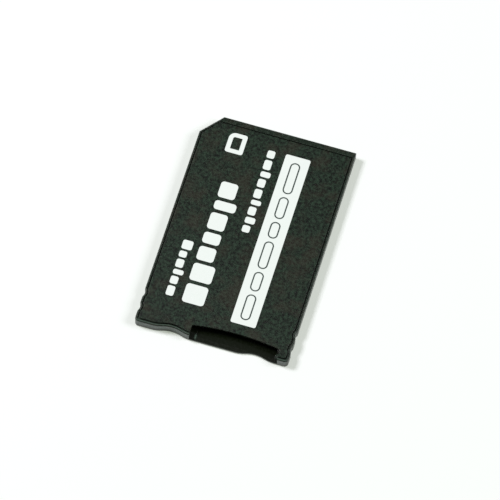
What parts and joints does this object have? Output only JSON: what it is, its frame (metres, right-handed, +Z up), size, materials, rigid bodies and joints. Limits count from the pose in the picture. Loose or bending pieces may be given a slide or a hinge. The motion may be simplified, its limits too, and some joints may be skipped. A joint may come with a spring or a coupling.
{
  "type": "memory card adapter",
  "caption": "Flat card-shaped adapter with a slot at one end for a smaller flash card, sprung contacts inside and plated terminals under its far end.",
  "frame": {"origin": "middle of the underside, on the surface that the adapter lies on", "axes": "+Z up through the printed cover, +Y towards the contact end that enters the host, +X to the right"},
  "size_m": [0.02, 0.031, 0.0016],
  "materials": {
    "tray_plastic": "fine moulded grain",
    "cover_plastic": "fine moulded grain",
    "board_laminate": "green solder mask over glass laminate",
    "comb_plastic": "moulded, plain",
    "chip_resin": "moulded resin",
    "spring_metal": "gold-plated phosphor bronze",
    "terminal_plating": "gold-plated",
    "capacitor_ceramic": "fired ceramic with tinned ends",
    "resistor_ceramic": "glazed ceramic with tinned ends",
    "print_white": "screen-printed ink",
    "print_dark": "bare plastic seen through the print"
  },
  "bodies": {
    "adapter": {"bottom_cover": "tray_plastic", "top_cover": "cover_plastic", "circuit_board": "board_laminate", "contact_comb": "comb_plastic", "controller_chip": "chip_resin", "chip_capacitor_1": "capacitor_ceramic", "chip_capacitor_2": "capacitor_ceramic", "chip_capacitor_3": "capacitor_ceramic", "chip_resistor_1": "resistor_ceramic", "chip_resistor_2": "resistor_ceramic", "chip_resistor_3": "resistor_ceramic", "chip_resistor_4": "resistor_ceramic", "host_terminal_1": "terminal_plating", "host_terminal_2": "terminal_plating", "host_terminal_3": "terminal_plating", "host_terminal_4": "terminal_plating", "host_terminal_5": "terminal_plating", "host_terminal_6": "terminal_plating", "host_terminal_7": "terminal_plating", "host_terminal_8": "terminal_plating", "host_terminal_9": "terminal_plating", "host_terminal_10": "terminal_plating"},
    "card_spring_1": {"card_spring_1": "spring_metal"},
    "card_spring_2": {"card_spring_2": "spring_metal"},
    "card_spring_3": {"card_spring_3": "spring_metal"},
    "card_spring_4": {"card_spring_4": "spring_metal"},
    "card_spring_5": {"card_spring_5": "spring_metal"},
    "card_spring_6": {"card_spring_6": "spring_metal"},
    "card_spring_7": {"card_spring_7": "spring_metal"},
    "card_spring_8": {"card_spring_8": "spring_metal"}
  },
  "joints": [
    {"name": "spring_1_flex", "type": "hinge", "parent": "adapter", "child": "card_spring_1", "pos_m": [-0.00181, 0.0002, 0.00037], "axis": [1, 0, 0], "range_deg": [0, 5], "stiffness_Nm_per_rad": 0.012},
    {"name": "spring_2_flex", "type": "hinge", "parent": "adapter", "child": "card_spring_2", "pos_m": [-0.00071, 0.0002, 0.00037], "axis": [1, 0, 0], "range_deg": [0, 5], "stiffness_Nm_per_rad": 0.012},
    {"name": "spring_3_flex", "type": "hinge", "parent": "adapter", "child": "card_spring_3", "pos_m": [0.00039, 0.0002, 0.00037], "axis": [1, 0, 0], "range_deg": [0, 5], "stiffness_Nm_per_rad": 0.012},
    {"name": "spring_4_flex", "type": "hinge", "parent": "adapter", "child": "card_spring_4", "pos_m": [0.00149, 0.0002, 0.00037], "axis": [1, 0, 0], "range_deg": [0, 5], "stiffness_Nm_per_rad": 0.012},
    {"name": "spring_5_flex", "type": "hinge", "parent": "adapter", "child": "card_spring_5", "pos_m": [0.00259, 0.0002, 0.00037], "axis": [1, 0, 0], "range_deg": [0, 5], "stiffness_Nm_per_rad": 0.012},
    {"name": "spring_6_flex", "type": "hinge", "parent": "adapter", "child": "card_spring_6", "pos_m": [0.00369, 0.0002, 0.00037], "axis": [1, 0, 0], "range_deg": [0, 5], "stiffness_Nm_per_rad": 0.012},
    {"name": "spring_7_flex", "type": "hinge", "parent": "adapter", "child": "card_spring_7", "pos_m": [0.00479, 0.0002, 0.00037], "axis": [1, 0, 0], "range_deg": [0, 5], "stiffness_Nm_per_rad": 0.012},
    {"name": "spring_8_flex", "type": "hinge", "parent": "adapter", "child": "card_spring_8", "pos_m": [0.00589, 0.0002, 0.00037], "axis": [1, 0, 0], "range_deg": [0, 5], "stiffness_Nm_per_rad": 0.012}
  ]
}
